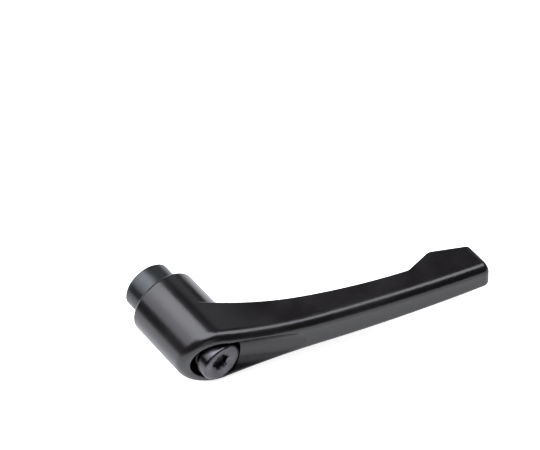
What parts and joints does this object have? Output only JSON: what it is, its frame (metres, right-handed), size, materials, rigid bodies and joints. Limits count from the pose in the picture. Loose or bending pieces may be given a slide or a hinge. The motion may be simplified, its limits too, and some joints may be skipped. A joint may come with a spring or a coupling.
{
  "type": "adjustable clamping lever",
  "caption": "Adjustable clamping lever: a curved cast handle on a toothed steel insert with an internal thread, held by a sprung retaining screw so the handle can be lifted and reset.",
  "frame": {"origin": "centre of the insert's lower face, the face that is clamped against the work", "axes": "+Z along the hub's axis towards the screw's head, +X along the handle towards its tip"},
  "size_m": [0.0919, 0.022, 0.0646],
  "materials": {
    "handle_coating": "satin black coating on a zinc die casting",
    "insert_steel": "turned and blackened",
    "spring_steel": "drawn wire",
    "screw_steel": "turned and lightly blackened"
  },
  "bodies": {
    "base": {"threaded_insert": "insert_steel", "retaining_screw": "screw_steel"},
    "lift": {"spring": "spring_steel"},
    "handle": {"handle": "handle_coating"}
  },
  "joints": [
    {"name": "handle_lift", "type": "slide", "parent": "base", "child": "lift", "axis": [0, 0, 1], "range_m": [0, 0.004], "stiffness_N_per_m": 2500, "springref_m": -0.004, "deforming": ["spring"]},
    {"name": "handle_turn", "type": "hinge", "parent": "lift", "child": "handle", "pos_m": [0, 0, 0], "axis": [0, 0, 1], "continuous": true}
  ]
}
